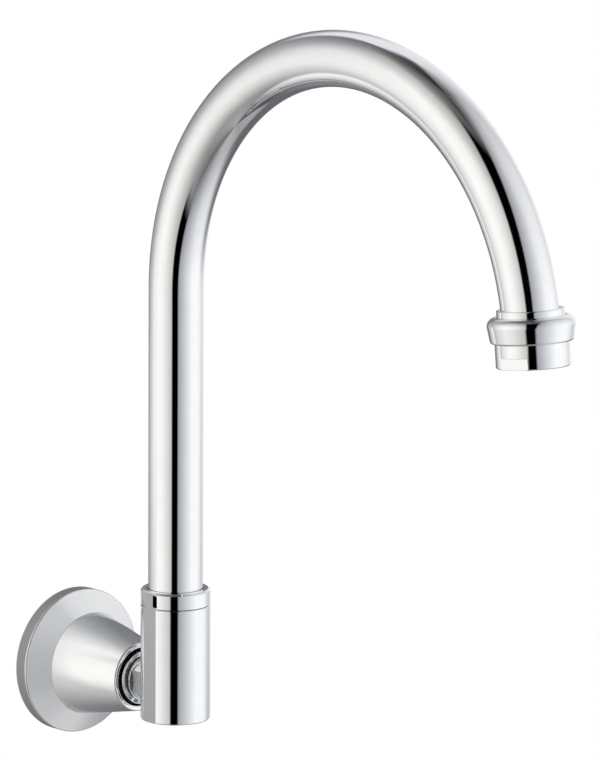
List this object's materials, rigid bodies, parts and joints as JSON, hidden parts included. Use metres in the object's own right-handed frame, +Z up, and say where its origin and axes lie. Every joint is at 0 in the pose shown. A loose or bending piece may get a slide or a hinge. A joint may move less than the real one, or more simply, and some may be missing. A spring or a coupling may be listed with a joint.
{
  "type": "wall faucet",
  "caption": "Wall-mounted swivel gooseneck outlet in polished chrome with a round wall plate, conical shroud, upright swivel body and screw-in aerator.",
  "frame": {"origin": "centre of the inlet thread in the plane of the finished wall, on the inlet axis", "axes": "+Z up along the swivel axis, +Y into the wall along the inlet thread, -Y out into the room along the spout, +X to the right for someone facing the wall"},
  "size_m": [0.0598, 0.2991, 0.3061],
  "materials": {
    "chrome": "polished chrome plate on brass",
    "bare_brass": "machined brass",
    "black_rubber": "moulded nitrile rubber",
    "foam_rubber": "closed-cell foam rubber",
    "fibre": "black fibre sheet",
    "acetal": "natural acetal",
    "grey_plastic": "moulded acetal",
    "stainless_mesh": "stainless steel mesh"
  },
  "bodies": {
    "wall_mount": {"wall_plate": "chrome", "wall_gasket": "foam_rubber", "hub_shroud": "chrome", "shroud_o_ring": "black_rubber", "inlet_nipple": "chrome", "nipple_washer": "fibre", "swivel_body": "chrome", "swivel_nut": "chrome", "slip_bush": "acetal", "thrust_washer": "acetal"},
    "spout": {"spout_tail": "bare_brass", "lower_o_ring": "black_rubber", "upper_o_ring": "black_rubber", "spout_tube": "chrome", "outlet_ferrule": "chrome"},
    "aerator_core": {"aerator_seal": "black_rubber", "cartridge_sleeve": "grey_plastic", "inlet_screen": "grey_plastic", "flow_regulator": "grey_plastic", "regulator_ring": "black_rubber", "top_spacer": "grey_plastic", "middle_spacer": "grey_plastic", "bottom_spacer": "grey_plastic", "upper_mesh": "stainless_mesh", "lower_mesh": "stainless_mesh", "outlet_grid": "grey_plastic"},
    "aerator_shell": {"aerator_housing": "chrome"}
  },
  "joints": [
    {"name": "spout_swivel", "type": "hinge", "parent": "wall_mount", "child": "spout", "pos_m": [0, -0.065, 0.0342], "axis": [0, 0, 1], "range_deg": [-100, 100]},
    {"name": "aerator_travel", "type": "slide", "parent": "spout", "child": "aerator_core", "axis": [0, -0.0976, -0.9952], "range_m": [0, 0.005]},
    {"name": "aerator_unscrew", "type": "hinge", "parent": "aerator_core", "child": "aerator_shell", "pos_m": [0, -0.26772, 0.17351], "axis": [0, -0.0976, -0.9952], "range_deg": [0, 1800]}
  ],
  "couplings": [
    {"joint": "aerator_travel", "follows": "aerator_unscrew", "m_per_rad": 0.00015915}
  ]
}
